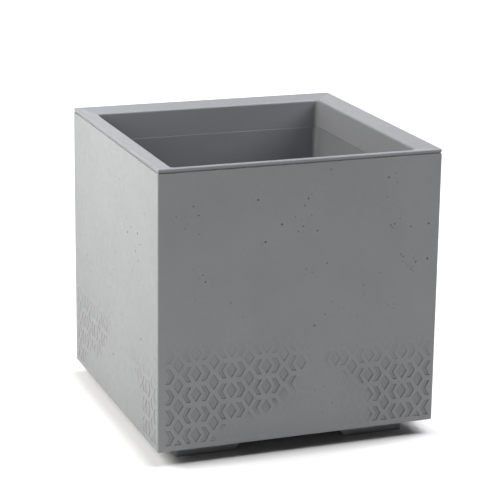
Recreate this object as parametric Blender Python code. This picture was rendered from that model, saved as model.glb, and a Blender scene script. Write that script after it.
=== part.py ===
"""Square planter box: moulded shell, top frame, lift-out liner with a drain plug, and four screwed-on feet.

Metres, +Z up. The origin is on the ground, at the middle of the footprint. The front is -Y and the left is -X.
A profile is a list of (inset, height) pairs, where inset is measured inwards from the planter's outer faces.
"""

import math

import bmesh
import bpy
from mathutils import Matrix, Vector

# Driving dimensions
SIDE = 0.400  # outer width and depth
GROUND_GAP = 0.0195  # ground to the lower edge of the walls
SHELL_TOP = 0.3999  # ground to the top edge of the walls
TOTAL_HEIGHT = 0.4061
HALF = SIDE / 2

# Working allowances
SEAT = 0.0003  # clearance between pieces that rest on or plug into each other
JOIN = 0.001  # how deep a feature reaches into the body that it is moulded to
PAST = 0.004  # how far a cutter reaches past the faces that it cuts

# Outer shell: four walls and a floor set up from their lower edge
SHELL_WALL = 0.0035
SHELL_FLOOR = 0.0035
FLOOR_SETBACK = 0.0025
SHELL_CORNER = 0.002  # outer corner radius
SHELL_INNER_CORNER = 0.0013
SHELL_CHAMFER_IN = 0.0031  # chamfer round the lower edge: inwards and upwards
SHELL_CHAMFER_UP = 0.0024
FLOOR_UNDER = GROUND_GAP + FLOOR_SETBACK
FLOOR_TOP = FLOOR_UNDER + SHELL_FLOOR
OUTLET_RADIUS = 0.018  # hole in the floor, under the liner's drain
RIB_THICKNESS = 0.0025  # one upright rib in the middle of each wall
RIB_DEPTH = 0.0255
RIB_TOP = 0.366
RIB_TOP_FALL = 0.028  # the rib's top slopes down this much towards the liner

# Snap catches on the walls and the frame's tabs that hook under them, two on each side
TAB_PLACES = (-0.090, 0.090)
CATCH_WIDTH = 0.028
CATCH_TOP = 0.3805
CATCH_BOTTOM = 0.378
CATCH_REACH = 0.0057
CATCH_DRAFT = 0.0008
TAB_WIDTH = 0.024
TAB_THICKNESS = 0.002
TAB_ROOT = 0.006  # overlap of tab and skirt
TAB_CLEARANCE = 0.0004
HOOK_CLEARANCE = 0.0007  # hook's tip to the wall
HOOK_HEIGHT = 0.005
HOOK_CHAMFER = 0.0014

# Top frame
FRAME_WIDTH = 0.0274  # outer face to the opening
FRAME_SLOPE = math.radians(13)
FRAME_OUTER_ROUND = 0.0024
FRAME_INNER_ROUND = 0.003
FRAME_THICKNESS = 0.0026
FRAME_CORNER = 0.007  # corner radius of the opening
FRAME_CORNER_LEAST = 0.001  # corner radius just inside the outer edge
SHADOW_GAP = 0.001  # height of the dark joint under the outer band
SHADOW_DEPTH = 0.0015
BAND_SET_IN = 0.0006  # the band leans in by this much towards the joint
LEDGE_DEPTH = 0.0458  # from the planter's top down to the liner's top edge
COLLAR_OVERLAP = 0.006  # the collar reaches this far below the liner's top edge
SKIRT_LENGTH = 0.016

# Liner
LINER_GAP = 0.001  # round the liner's top edge, inside the collar
LINER_WALL = 0.003
LINER_DRAFT = math.radians(0.77)
LINER_CORNER = 0.006  # inner corner radius
LINER_FLOOR = 0.0035
LINER_TOP = TOTAL_HEIGHT - LEDGE_DEPTH
LINER_BOTTOM = FLOOR_TOP + SEAT
LINER_FLOOR_TOP = LINER_BOTTOM + LINER_FLOOR

# Drain plug: hollow stem, flat head and an upright bar to pull
PLUG_HOLE = 0.011
PLUG_HEAD = 0.015
PLUG_HEAD_HEIGHT = 0.0025
PLUG_BELOW = 0.0030  # how far the stem reaches below the liner's floor
PLUG_SKIN = 0.0022
PLUG_CHAMFER = 0.0011
PULL_LENGTH = 0.018
PULL_WIDTH = 0.0035
PULL_HEIGHT = 0.006
PULL_CORNER = 0.0015
PULL_CHAMFER = 0.0008

# Feet
FOOT_INSET_X = 0.0344
FOOT_INSET_Y = 0.0270
FOOT_LENGTH = 0.086  # along each side, at the ground
FOOT_SLANT = 0.016  # the inner ends run out this much towards the top
FOOT_WALL = 0.004
FOOT_ROOF = 0.006
FOOT_CORNER = 0.003
FOOT_TOP = FLOOR_UNDER - SEAT
BOSS_RADIUS = 0.0055
BOSS_BOTTOM = 0.006

# Foot screws: countersunk heads with a cross recess, driven down from inside the shell
SCREW_RADIUS = 0.002
SCREW_LENGTH = 0.0145
SCREW_TIP_RADIUS = 0.0005
SCREW_TIP_LENGTH = 0.003
SCREW_CLEAR = 0.0026  # radius of the hole in the shell's floor
SCREW_HEAD = 0.0042
SCREW_HEAD_RIM = 0.0004  # height of the head's upright rim
SCREW_HEAD_HEIGHT = 0.0024
RECESS_DEPTH = 0.0014
RECESS_REACH = 0.0023
RECESS_HALF_WIDTH = 0.0005

# Linear colours
WALL_GREY = (0.235, 0.240, 0.248)  # shell, top frame and feet
LINER_GREY = (0.215, 0.220, 0.228)
PLUG_BLACK = (0.035, 0.035, 0.037)
STEEL = (0.55, 0.55, 0.56)

# Roughness of the surfaces
SHELL_ROUGHNESS = 0.55
SMOOTH_ROUGHNESS = 0.5  # top frame and liner
FOOT_ROUGHNESS = 0.6
PLUG_ROUGHNESS = 0.7
STEEL_ROUGHNESS = 0.35

CORNER_STEPS = 3
ARC_STEPS = 3
ROUND_SIDES = 24
SMOOTH_ANGLE = math.radians(32)


def clear_scene():
    for obj in list(bpy.data.objects):
        bpy.data.objects.remove(obj)


def make_material(name, colour, roughness, metallic=0.0):
    material = bpy.data.materials.new(name)
    material.use_nodes = True
    shader = material.node_tree.nodes["Principled BSDF"]
    shader.inputs["Base Color"].default_value = (*colour, 1.0)
    shader.inputs["Roughness"].default_value = roughness
    shader.inputs["Metallic"].default_value = metallic
    return material


def make_object(name, bm, material=None):
    """Turn a bmesh into a shaded object. Without a material it is a hidden helper."""
    bmesh.ops.recalc_face_normals(bm, faces=bm.faces)
    mesh = bpy.data.meshes.new(name)
    bm.to_mesh(mesh)
    bm.free()
    obj = bpy.data.objects.new(name, mesh)
    bpy.context.scene.collection.objects.link(obj)
    if material is None:
        obj.hide_render = True
        obj.display_type = "WIRE"
    else:
        mesh.materials.append(material)
        mesh.shade_smooth()
        mesh.set_sharp_from_angle(angle=SMOOTH_ANGLE)
    return obj


def add_boolean(obj, helper, operation):
    modifier = obj.modifiers.new(helper.name, "BOOLEAN")
    modifier.operation = operation
    modifier.solver = "EXACT"
    modifier.object = helper
    helper.parent = obj.parent


def rounded_loop(bm, low, high, z, radius):
    """Vertices round a rounded rectangle from low to high, counter-clockwise from above."""
    verts = []
    for quarter, (right, back) in enumerate(((1, 1), (0, 1), (0, 0), (1, 0))):
        x = high[0] - radius if right else low[0] + radius
        y = high[1] - radius if back else low[1] + radius
        for step in range(CORNER_STEPS + 1):
            angle = math.pi / 2 * (quarter + step / CORNER_STEPS)
            verts.append(bm.verts.new((x + radius * math.cos(angle), y + radius * math.sin(angle), z)))
    return verts


def square_loop(bm, half, z, radius):
    return rounded_loop(bm, (-half, -half), (half, half), z, radius)


def round_loop(bm, radius, z, centre=(0.0, 0.0)):
    angles = [2 * math.pi * side / ROUND_SIDES for side in range(ROUND_SIDES)]
    return [
        bm.verts.new((centre[0] + radius * math.cos(a), centre[1] + radius * math.sin(a), z))
        for a in angles
    ]


def skin_loops(bm, loops, closed=False):
    """Join loops of equal length with quads. An open run gets a cap at each end."""
    following = loops[1:] + loops[:1] if closed else loops[1:]
    for first, second in zip(loops, following):
        for i in range(len(first)):
            j = (i + 1) % len(first)
            bm.faces.new((first[i], first[j], second[j], second[i]))
    if not closed:
        bm.faces.new(loops[0])
        bm.faces.new(loops[-1])


def turn_profile(bm, points, centre=(0.0, 0.0)):
    """A solid of revolution from (radius, height) pairs that start and end with a flat cap."""
    skin_loops(bm, [round_loop(bm, radius, z, centre) for radius, z in points])


def side_prism(bm, profile, along, width, side):
    """Extrude an (inset, height) profile along one of the four sides, centred at the place along it."""
    turn = Matrix.Rotation(math.pi / 2 * side, 4, "Z")
    ends = []
    for x in (along - width / 2, along + width / 2):
        ends.append([bm.verts.new(turn @ Matrix.Translation((x, -HALF + inset, z)).translation)
                     for inset, z in profile])
    skin_loops(bm, ends)


def make_shell(material):
    """Walls and floor in one cup."""
    bm = bmesh.new()
    rings = (
        (SHELL_WALL, FLOOR_UNDER, SHELL_INNER_CORNER),
        (SHELL_WALL, GROUND_GAP, SHELL_INNER_CORNER),
        (SHELL_CHAMFER_IN, GROUND_GAP, SHELL_INNER_CORNER),
        (0.0, GROUND_GAP + SHELL_CHAMFER_UP, SHELL_CORNER),
        (0.0, SHELL_TOP, SHELL_CORNER),
        (SHELL_WALL, SHELL_TOP, SHELL_INNER_CORNER),
        (SHELL_WALL, FLOOR_TOP, SHELL_INNER_CORNER),
    )
    skin_loops(bm, [square_loop(bm, HALF - inset, z, radius) for inset, z, radius in rings])
    return make_object("outer_shell", bm, material)


def make_shell_ribs():
    """Upright ribs that stiffen the walls, and the catches that hold the top frame's tabs."""
    root = SHELL_WALL - JOIN
    rib = (
        (root, FLOOR_TOP - JOIN),
        (RIB_DEPTH, FLOOR_TOP - JOIN),
        (RIB_DEPTH, RIB_TOP - RIB_TOP_FALL),
        (root, RIB_TOP),
    )
    catch = (
        (root, CATCH_BOTTOM),
        (CATCH_REACH, CATCH_BOTTOM),
        (CATCH_REACH - CATCH_DRAFT, CATCH_TOP),
        (root, CATCH_TOP),
    )
    bm = bmesh.new()
    for side in range(4):
        side_prism(bm, rib, 0.0, RIB_THICKNESS, side)
        for along in TAB_PLACES:
            side_prism(bm, catch, along, CATCH_WIDTH, side)
    return make_object("shell_ribs", bm)


def foot_corners():
    """(name, sign along X, sign along Y) of each corner."""
    return (
        ("front_left", -1, -1),
        ("front_right", 1, -1),
        ("back_left", -1, 1),
        ("back_right", 1, 1),
    )


def foot_middle(sign_x, sign_y):
    x = sign_x * (HALF - FOOT_INSET_X - FOOT_LENGTH / 2)
    y = sign_y * (HALF - FOOT_INSET_Y - FOOT_LENGTH / 2)
    return x, y


def make_floor_holes():
    bm = bmesh.new()
    low, high = FLOOR_UNDER - PAST, FLOOR_TOP + PAST
    turn_profile(bm, ((OUTLET_RADIUS, low), (OUTLET_RADIUS, high)))
    countersink = SCREW_HEAD + SEAT
    screw_hole = (
        (SCREW_CLEAR, low),
        (SCREW_CLEAR, FLOOR_TOP - SEAT - SCREW_HEAD_HEIGHT),
        (countersink, FLOOR_TOP - SEAT - SCREW_HEAD_RIM),
        (countersink, high),
    )
    for _, sign_x, sign_y in foot_corners():
        turn_profile(bm, screw_hole, foot_middle(sign_x, sign_y))
    return make_object("floor_holes", bm)


def arc_points(centre, radius, start, end):
    """Points on an arc. Angle 0 points to the outside of the planter and 90 degrees points up."""
    angles = [start + (end - start) * step / ARC_STEPS for step in range(ARC_STEPS + 1)]
    return [(centre[0] - radius * math.cos(a), centre[1] + radius * math.sin(a)) for a in angles]


def frame_profile():
    """The top frame's section: band, sloping top, collar, then back up inside and down the skirt."""
    crest = math.pi / 2 + FRAME_SLOPE
    outer_centre = (FRAME_OUTER_ROUND, TOTAL_HEIGHT - FRAME_OUTER_ROUND)
    outer = arc_points(outer_centre, FRAME_OUTER_ROUND, 0.0, crest)
    slope_start, slope_height = outer[-1]
    inner_inset = FRAME_WIDTH - FRAME_INNER_ROUND
    slope_end = inner_inset + FRAME_INNER_ROUND * math.sin(FRAME_SLOPE)
    fall = (slope_end - slope_start) * math.tan(FRAME_SLOPE)
    inner_height = slope_height - fall - FRAME_INNER_ROUND * math.cos(FRAME_SLOPE)
    inner = arc_points((inner_inset, inner_height), FRAME_INNER_ROUND, crest, math.pi)
    collar_bottom = LINER_TOP - COLLAR_OVERLAP
    collar_back = FRAME_WIDTH - FRAME_THICKNESS
    skirt_face = SHELL_WALL + SEAT
    skirt_back = skirt_face + FRAME_THICKNESS
    skirt_bottom = SHELL_TOP - SKIRT_LENGTH
    slope_under = slope_height - (skirt_back - slope_start) * math.tan(FRAME_SLOPE)
    slope_under -= FRAME_THICKNESS / math.cos(FRAME_SLOPE)
    seat = SHELL_TOP + SEAT
    inside = [
        (FRAME_WIDTH, collar_bottom),
        (collar_back, collar_bottom),
        (collar_back, inner_height),
        (skirt_back, slope_under),
        (skirt_back, skirt_bottom),
        (skirt_face, skirt_bottom),
        (skirt_face, seat),
        (SHADOW_DEPTH, seat),
        (SHADOW_DEPTH, SHELL_TOP + SHADOW_GAP),
        (BAND_SET_IN, SHELL_TOP + SHADOW_GAP),
    ]
    return outer + inner + inside


def frame_corner(inset):
    """Corner radius of the frame at an inset: tight outside, wider at the opening."""
    if inset <= BAND_SET_IN:
        return SHELL_CORNER - inset
    return FRAME_CORNER_LEAST + (FRAME_CORNER - FRAME_CORNER_LEAST) * (inset / FRAME_WIDTH) ** 2


def make_frame(material):
    bm = bmesh.new()
    loops = [square_loop(bm, HALF - inset, z, frame_corner(inset)) for inset, z in frame_profile()]
    skin_loops(bm, loops, closed=True)
    return make_object("top_frame", bm, material)


def make_frame_tabs():
    """Snap tabs that hang from the skirt and hook under the shell's catches."""
    face = CATCH_REACH + TAB_CLEARANCE
    back = face + TAB_THICKNESS
    hook_tip = SHELL_WALL + HOOK_CLEARANCE
    hook_top = CATCH_BOTTOM - TAB_CLEARANCE
    hook_bottom = hook_top - HOOK_HEIGHT
    skirt_bottom = SHELL_TOP - SKIRT_LENGTH
    profile = (
        (face - JOIN, skirt_bottom + TAB_ROOT),
        (back - JOIN, skirt_bottom + TAB_ROOT),
        (back, skirt_bottom + JOIN),
        (back, hook_bottom + HOOK_CHAMFER),
        (back - HOOK_CHAMFER, hook_bottom),
        (hook_tip, hook_top - HOOK_CHAMFER),
        (hook_tip, hook_top),
        (face, hook_top),
        (face, skirt_bottom + JOIN),
        (face - JOIN, skirt_bottom + 2 * JOIN),
    )
    bm = bmesh.new()
    for side in range(4):
        for along in TAB_PLACES:
            side_prism(bm, profile, along, TAB_WIDTH, side)
    return make_object("frame_tabs", bm)


def liner_half(z):
    """Half the liner's outer width at a height."""
    return HALF - FRAME_WIDTH - LINER_GAP - (LINER_TOP - z) * math.tan(LINER_DRAFT)


def make_liner(material):
    """A drafted tub that stands on the shell's floor."""
    outer_corner = LINER_CORNER + LINER_WALL
    bm = bmesh.new()
    skin_loops(bm, [
        square_loop(bm, liner_half(LINER_BOTTOM), LINER_BOTTOM, outer_corner),
        square_loop(bm, liner_half(LINER_TOP), LINER_TOP, outer_corner),
        square_loop(bm, liner_half(LINER_TOP) - LINER_WALL, LINER_TOP, LINER_CORNER),
        square_loop(bm, liner_half(LINER_FLOOR_TOP) - LINER_WALL, LINER_FLOOR_TOP, LINER_CORNER),
    ])
    return make_object("liner", bm, material)


def make_drain_hole():
    bm = bmesh.new()
    turn_profile(bm, ((PLUG_HOLE, LINER_BOTTOM - PAST), (PLUG_HOLE, LINER_FLOOR_TOP + PAST)))
    return make_object("drain_hole", bm)


def make_plug(material):
    """A hollow push-in plug. Its own origin is on its axis, at the liner's floor."""
    stem = PLUG_HOLE - SEAT
    stem_end = -LINER_FLOOR - PLUG_BELOW
    head_top = SEAT + PLUG_HEAD_HEIGHT
    bm = bmesh.new()
    turn_profile(bm, (
        (stem - PLUG_SKIN, SEAT),
        (stem - PLUG_SKIN, stem_end),
        (stem - PLUG_CHAMFER, stem_end),
        (stem, stem_end + PLUG_CHAMFER),
        (stem, SEAT),
        (PLUG_HEAD, SEAT),
        (PLUG_HEAD, head_top - PLUG_CHAMFER),
        (PLUG_HEAD - PLUG_CHAMFER, head_top),
    ))
    return make_object("drain_plug", bm, material)


def make_plug_pull():
    """The upright bar that fingers pull the plug out by."""
    head_top = SEAT + PLUG_HEAD_HEIGHT
    top = head_top + PULL_HEIGHT
    bm = bmesh.new()
    loops = []
    for inset, z in ((0.0, head_top - JOIN), (0.0, top - PULL_CHAMFER), (PULL_CHAMFER, top)):
        x = PULL_LENGTH / 2 - inset
        y = PULL_WIDTH / 2 - inset
        loops.append(rounded_loop(bm, (-x, -y), (x, y), z, PULL_CORNER - inset))
    skin_loops(bm, loops)
    return make_object("plug_pull", bm)


def foot_rectangle(sign_x, sign_y, shrink, run_out):
    """Low and high corners of a foot's outline, shrunk all round, with its inner ends run out."""
    outer = (HALF - FOOT_INSET_X - shrink, HALF - FOOT_INSET_Y - shrink)
    inner = (
        HALF - FOOT_INSET_X - FOOT_LENGTH - run_out + shrink,
        HALF - FOOT_INSET_Y - FOOT_LENGTH - run_out + shrink,
    )
    x = sorted((sign_x * outer[0], sign_x * inner[0]))
    y = sorted((sign_y * outer[1], sign_y * inner[1]))
    return (x[0], y[0]), (x[1], y[1])


def make_foot(name, sign_x, sign_y, material):
    """A hollow block, open below, with upright outer sides and slanted inner ends."""
    pocket_top = FOOT_TOP - FOOT_ROOF
    pocket_run = FOOT_SLANT * pocket_top / FOOT_TOP
    rings = (
        (0.0, FOOT_SLANT, FOOT_TOP, FOOT_CORNER),
        (0.0, 0.0, 0.0, FOOT_CORNER),
        (FOOT_WALL, 0.0, 0.0, FOOT_CORNER / 2),
        (FOOT_WALL, pocket_run, pocket_top, FOOT_CORNER / 2),
    )
    bm = bmesh.new()
    skin_loops(bm, [
        rounded_loop(bm, *foot_rectangle(sign_x, sign_y, shrink, run_out), z, radius)
        for shrink, run_out, z, radius in rings
    ])
    return make_object("foot_" + name, bm, material)


def make_foot_boss(name, centre):
    """The post inside a foot that the screw bites into."""
    bm = bmesh.new()
    top = FOOT_TOP - FOOT_ROOF + JOIN
    turn_profile(bm, ((BOSS_RADIUS, BOSS_BOTTOM), (BOSS_RADIUS, top)), centre)
    return make_object("boss_" + name, bm)


def make_pilot_hole(name, centre):
    bm = bmesh.new()
    radius = SCREW_RADIUS + SEAT
    bottom = FLOOR_TOP - SCREW_LENGTH - JOIN
    turn_profile(bm, ((radius, bottom), (radius, FOOT_TOP + PAST)), centre)
    return make_object("pilot_" + name, bm)


def make_screw(name, material):
    """A countersunk screw. Its own origin is on its axis, at the top of the shell's floor."""
    tip = -SCREW_LENGTH
    bm = bmesh.new()
    turn_profile(bm, (
        (SCREW_TIP_RADIUS, tip),
        (SCREW_RADIUS, tip + SCREW_TIP_LENGTH),
        (SCREW_RADIUS, -SEAT - SCREW_HEAD_HEIGHT),
        (SCREW_HEAD, -SEAT - SCREW_HEAD_RIM),
        (SCREW_HEAD, -SEAT),
    ))
    return make_object("foot_screw_" + name, bm, material)


def make_screw_recess(name):
    """A cross-shaped recess, as one twelve-cornered prism."""
    arm = (
        Vector((RECESS_REACH, -RECESS_HALF_WIDTH)),
        Vector((RECESS_REACH, RECESS_HALF_WIDTH)),
        Vector((RECESS_HALF_WIDTH, RECESS_HALF_WIDTH)),
    )
    turns = [Matrix.Rotation(math.pi / 2 * quarter, 2) for quarter in range(4)]
    outline = [turn @ corner for turn in turns for corner in arm]
    bm = bmesh.new()
    heights = (-SEAT - RECESS_DEPTH, PAST)
    skin_loops(bm, [[bm.verts.new((x, y, z)) for x, y in outline] for z in heights])
    return make_object("recess_" + name, bm)


def build_feet(planter):
    plastic = make_material("foot_plastic", WALL_GREY, FOOT_ROUGHNESS)
    steel = make_material("screw_steel", STEEL, STEEL_ROUGHNESS, metallic=1.0)
    for name, sign_x, sign_y in foot_corners():
        centre = foot_middle(sign_x, sign_y)
        foot = make_foot(name, sign_x, sign_y, plastic)
        foot.parent = planter
        add_boolean(foot, make_foot_boss(name, centre), "UNION")
        add_boolean(foot, make_pilot_hole(name, centre), "DIFFERENCE")
        screw = make_screw(name, steel)
        screw.parent = planter
        screw.location = (*centre, FLOOR_TOP)
        recess = make_screw_recess(name)
        add_boolean(screw, recess, "DIFFERENCE")
        recess.location = screw.location


def main():
    clear_scene()
    planter = bpy.data.objects.new("planter", None)
    bpy.context.scene.collection.objects.link(planter)

    shell = make_shell(make_material("shell_plastic", WALL_GREY, SHELL_ROUGHNESS))
    shell.parent = planter
    add_boolean(shell, make_shell_ribs(), "UNION")
    add_boolean(shell, make_floor_holes(), "DIFFERENCE")

    frame = make_frame(make_material("frame_plastic", WALL_GREY, SMOOTH_ROUGHNESS))
    frame.parent = planter
    add_boolean(frame, make_frame_tabs(), "UNION")

    liner = make_liner(make_material("liner_plastic", LINER_GREY, SMOOTH_ROUGHNESS))
    liner.parent = planter
    add_boolean(liner, make_drain_hole(), "DIFFERENCE")

    plug = make_plug(make_material("plug_rubber", PLUG_BLACK, PLUG_ROUGHNESS))
    plug.parent = liner
    plug.location = (0.0, 0.0, LINER_FLOOR_TOP)
    pull = make_plug_pull()
    add_boolean(plug, pull, "UNION")
    pull.location = plug.location

    build_feet(planter)


main()
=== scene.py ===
"""Looks of the square planter box: moulded walls with a shallow lattice and casting pits, a smooth top frame,
a lift-out liner with its drain plug, and low feet, on a pale studio floor.

Metres, +Z up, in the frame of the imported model. The four sides are numbered from the front, counter-clockwise
as seen from above. A face of the shell is drawn in (along, up) coordinates as it is seen from outside, with
along measured from the face's left edge and up from the walls' lower edge. A profile is a list of
(inset, height) pairs, where inset is measured inwards from the outer face of the piece.
"""
import math
import random

import bmesh
import bpy
from mathutils import Matrix, Vector
from mathutils.geometry import delaunay_2d_cdt


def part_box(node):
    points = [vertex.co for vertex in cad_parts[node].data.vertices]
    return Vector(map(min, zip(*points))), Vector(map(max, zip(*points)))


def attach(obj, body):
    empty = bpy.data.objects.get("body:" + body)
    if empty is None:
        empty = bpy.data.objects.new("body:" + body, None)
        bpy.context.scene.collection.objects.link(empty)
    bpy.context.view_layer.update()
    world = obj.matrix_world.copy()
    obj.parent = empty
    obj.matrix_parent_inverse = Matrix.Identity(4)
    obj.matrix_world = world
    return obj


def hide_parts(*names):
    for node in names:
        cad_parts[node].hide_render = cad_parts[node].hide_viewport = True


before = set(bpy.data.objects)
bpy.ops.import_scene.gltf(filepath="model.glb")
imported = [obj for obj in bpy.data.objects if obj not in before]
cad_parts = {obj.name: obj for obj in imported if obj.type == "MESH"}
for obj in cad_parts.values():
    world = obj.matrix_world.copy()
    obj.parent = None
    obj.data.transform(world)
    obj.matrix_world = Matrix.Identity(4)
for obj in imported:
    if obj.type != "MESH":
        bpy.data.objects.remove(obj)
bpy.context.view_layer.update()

# Places read from the frame
SHELL_LOW, SHELL_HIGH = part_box("outer_shell")
FRAME_LOW, FRAME_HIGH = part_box("top_frame")
LINER_LOW, LINER_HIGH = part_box("liner")
PLUG_LOW, PLUG_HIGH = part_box("drain_plug")
HALF = SHELL_HIGH.x
SIDE = 2 * HALF
WALL_FOOT = SHELL_LOW.z
SHELL_TOP = SHELL_HIGH.z
FRAME_COLLAR_FOOT = FRAME_LOW.z
TOTAL_HEIGHT = FRAME_HIGH.z

# Working allowances and mesh detail
SEAT = 0.0003  # clearance between pieces that rest on or plug into each other
JOIN = 0.001  # how far a moulded-on feature reaches into its body, and a cutter past it
NEAR = 1e-6  # lengths closer than this count as equal
WELD = 1e-5  # points closer than this become one
MILLIMETRES = 1000  # the triangulation of a face works in these
TRIANGULATION_NEAR = 1e-4  # and takes points closer than this as one
ARC = 6  # pieces in a round corner or edge
SMALL_ARC = 3  # and in a very small one
FOOT_ARC = 5  # and along the shell's lower edge
ROUND_SIDES = 48
SCREW_SIDES = 32
SHARP_ANGLE = 30.0  # degrees between two faces, from which their edge is shaded sharp
SHELL_SHARP_ANGLE = 32.0

# Shell
SHELL_WALL = 0.0035
SHELL_FLOOR = 0.0035
FLOOR_SETBACK = 0.0025  # walls' lower edge to the floor's underside
FLOOR_UNDER = WALL_FOOT + FLOOR_SETBACK
FLOOR_TOP = FLOOR_UNDER + SHELL_FLOOR
SHELL_CORNER = 0.002
SHELL_INNER_CORNER = 0.0013
SHELL_FOOT_IN = 0.0031  # the lower edge is rounded off this far inwards
SHELL_FOOT_UP = 0.0024
SHELL_TOP_ROUND = 0.0008
OUTLET_RADIUS = 0.018  # hole in the floor, under the liner's drain
SCREW_HOLE = 0.0026  # radius
SINK_RADIUS = 0.0045
SINK_SLOPE_FOOT = 0.0027  # below the floor's top, where the countersink starts to widen
SINK_SLOPE_TOP = 0.0007  # and where it has its full radius
RIB_THICKNESS = 0.0025  # one upright rib in the middle of each wall
RIB_DEPTH = 0.0255
RIB_TOP = 0.366
RIB_TOP_FALL = 0.028  # the rib's top slopes down this much towards the liner
TAB_PLACES = (-0.090, 0.090)  # places of tabs and catches, from the middle of each side
CATCH_WIDTH = 0.028
CATCH_TOP = 0.3805
CATCH_BOTTOM = 0.378
CATCH_REACH = 0.0057
CATCH_DRAFT = 0.0008

# Lattice on the shell's faces
COLUMN_PITCH = 0.0497
FIRST_COLUMN = 0.0037
LAST_COLUMN = 8
ROW_PITCH = 0.0288
FIRST_ROW = 0.0196
LAST_ROW = 4
LATTICE_CUT = 0.0083  # nothing is cut below this height
CHEVRON_TIP = 0.0195  # from the middle of the cell
CHEVRON_STROKE = 0.0063  # width of the stroke, measured along
CHEVRON_HALF_HEIGHT = 0.01075
CHEVRON_SLANT = math.tan(math.radians(30))
RHOMBUS_HALF_WIDTH = 0.0072
RHOMBUS_HALF_HEIGHT = 0.0110
LATTICE_DEPTH = 0.0009
SIDE_SHARE = 0.6  # the lattice is shallower on the left, right and back faces
SIDE_NARROWED = 0.033  # and each of its patches there is narrower by this much
LATTICE_LEAST = 0.00004  # a recess shallower than this is left out
LATTICE_WALL = 0.00045  # width of the recesses' slanting sides
LATTICE_CREASE = 0.0007  # width of the painted shade line at their feet
LATTICE_FULL = 0.085  # height up to which the lattice has its full depth
LATTICE_GONE = 0.155
# Inner edges of the left and the right patch, as (up, along) points
LEFT_PATCH_EDGE = ((0.010, 0.074), (0.022, 0.080), (0.034, 0.098), (0.048, 0.163), (0.106, 0.212))
RIGHT_PATCH_EDGE = ((0.050, 0.306), (0.077, 0.285), (0.106, 0.238))
PATCH_FADE = 0.006  # width over which a patch ends
RIGHT_LOWERED = 0.020  # the right patch fades out this much lower
LOWERED_BETWEEN = (0.4 * SIDE, 0.6 * SIDE)  # where that sets in
GHOST_SHARE = 0.09  # share of the depth that is left just beyond a patch
GHOST_FULL, GHOST_GONE = 0.060, 0.110  # heights between which it fades out
GHOST_NEAR, GHOST_FAR = 0.03, 0.06  # distances from the patch between which it fades out
PAINTED_HIGHLIGHT_WIDTH = 0.0008  # width of the painted highlight line round each recess
PAINTED_HIGHLIGHT_TONE = -0.40  # its share of the crease tone: negative, meant as a painted highlight, though the material's clamped map range leaves it at no change

# Casting pits
PIT_COUNT = 190
PIT_SIDES = 9
PIT_LEAST = 0.0005  # least radius
PIT_SPREAD = 0.0010  # greatest radius less the least one
PIT_SKEW = 3  # a power that makes large pits rare
PIT_DEPTHS = (0.7, 1.1)  # in radii
PIT_STRETCHES = (0.75, 1.3)
PIT_UNEVENNESS = (0.8, 1.15)
PIT_RINGS = ((1.0, 0.0), (0.70, 0.75))  # share of the radius, and of the depth
PIT_REACH = 1.5  # radii kept free round a pit's middle
PIT_MARGIN = 0.008  # least distance of a lone pit from the face's edges
PIT_LEAST_MARGIN = 0.006  # and of any pit
# Crease tone of the pits: painted shade, with some dirt.
PIT_SHADE_AND_DIRT = 0.62
CLUSTERS = 15  # every other pit lies in one of these
CLUSTER_SPREAD = 0.011
CLUSTER_MARGIN = 0.03
FIRST_SEED = 40  # of the front face. The other sides count on from it
RELIEF_GAP = 0.001  # kept between a recess and the next pit or plain point

FACE_CUTS = 20  # squares along and up a face of the shell

# Top frame
FRAME_WIDTH = 0.0274
FRAME_SLOPE = math.radians(13)
FRAME_OUTER_ROUND = 0.0024
FRAME_INNER_ROUND = 0.003
FRAME_THICKNESS = 0.0026
FRAME_CORNER = 0.007
FRAME_CORNER_LEAST = 0.001
SHADOW_GAP = 0.001
SHADOW_DEPTH = 0.0015
SKIRT_LENGTH = 0.016
BAND_ROUND = 0.0003
BAND_PAINTED_SHADE_FADE = 0.0012  # painted shade on the band ends this far up its crown
BAND_SET_IN = 0.0011  # the band's foot behind its crown
TAB_WIDTH = 0.024
TAB_THICKNESS = 0.002
TAB_ROOT = 0.006  # overlap of tab and skirt
TAB_CLEARANCE = 0.0004
HOOK_CLEARANCE = 0.0007  # hook's tip to the wall
HOOK_HEIGHT = 0.005
HOOK_CHAMFER = 0.0014

# Liner and plug
LINER_DRAFT = math.tan(math.radians(0.77))
LINER_WALL = 0.003
LINER_CORNER = 0.006  # inner corner radius
LINER_FLOOR = 0.0035
LINER_FLOOR_TOP = LINER_LOW.z + LINER_FLOOR
LINER_RIM_ROUND = 0.0004
LINER_EDGE = 0.0004  # the wall, without its lip, thins to this at its top
LINER_TAPER = 0.040  # over this height
LINER_LIP = 0.0008  # the top edge stands out by this much
LINER_LIP_HEIGHT = 0.004
LINER_FOOT_ROUND = 0.002
LEDGE_PAINTED_SHADE = 0.0008  # painted shade on the top edge reaches down to here
LINER_FILLET = 0.004  # between wall and floor
PLUG_HOLE = 0.011  # radius
PLUG_HEAD_HEIGHT = 0.0028
PLUG_HEAD_TOP = LINER_FLOOR_TOP + PLUG_HEAD_HEIGHT
PLUG_SKIN = 0.0022
PLUG_EDGE = 0.0011  # size of its round and slanting edges
PULL_SIZE = (0.018, 0.0035)  # length and width of the bar to pull
PULL_CORNER = 0.0015

# Feet
FOOT_SLANT = 0.016  # the inner ends run in by this much towards the ground
FOOT_WALL = 0.004
FOOT_ROOF = 0.006
FOOT_CORNER = 0.003
FOOT_ROUND = 0.0008
BOSS_RADIUS = 0.0055  # post that the screw bites into
BOSS_BOTTOM = 0.006
PILOT_RADIUS = 0.0023
PILOT_DEPTH = 0.0155  # below the top of the shell's floor
CORNERS = ("front_left", "front_right", "back_left", "back_right")

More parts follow.
